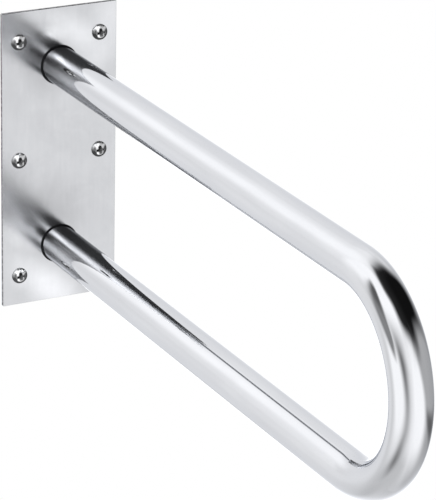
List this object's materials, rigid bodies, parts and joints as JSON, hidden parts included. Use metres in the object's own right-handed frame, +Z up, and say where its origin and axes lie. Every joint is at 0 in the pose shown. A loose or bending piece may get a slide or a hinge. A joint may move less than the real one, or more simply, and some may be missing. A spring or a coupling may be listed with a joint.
{
  "type": "grab bar",
  "caption": "Wall-mounted U-shaped grab bar: a bent round tube with its arms welded through a flat rectangular plate that screws to the wall.",
  "frame": {"origin": "centre of the wall plate's back face, where it meets the wall", "axes": "+Y into the wall, so the bar stands out towards -Y; +Z up; +X to the right for someone who faces the wall"},
  "size_m": [0.105, 0.657, 0.26],
  "materials": {
    "polished_tube": "polished stainless steel",
    "satin_plate": "satin stainless sheet",
    "weld": "ground weld with faint heat tint",
    "black_seal": "matt black sealant",
    "bright_screw": "bright stainless steel",
    "nylon_plug": "moulded nylon"
  },
  "bodies": {
    "root": {"u_tube": "polished_tube", "wall_plate": "satin_plate", "weld_ring_upper": "weld", "seal_ring_upper": "black_seal", "weld_ring_lower": "weld", "seal_ring_lower": "black_seal", "screw_top_left": "bright_screw", "plug_top_left": "nylon_plug", "screw_top_right": "bright_screw", "plug_top_right": "nylon_plug", "screw_middle_left": "bright_screw", "plug_middle_left": "nylon_plug", "screw_middle_right": "bright_screw", "plug_middle_right": "nylon_plug", "screw_bottom_left": "bright_screw", "plug_bottom_left": "nylon_plug", "screw_bottom_right": "bright_screw", "plug_bottom_right": "nylon_plug"}
  },
  "joints": []
}
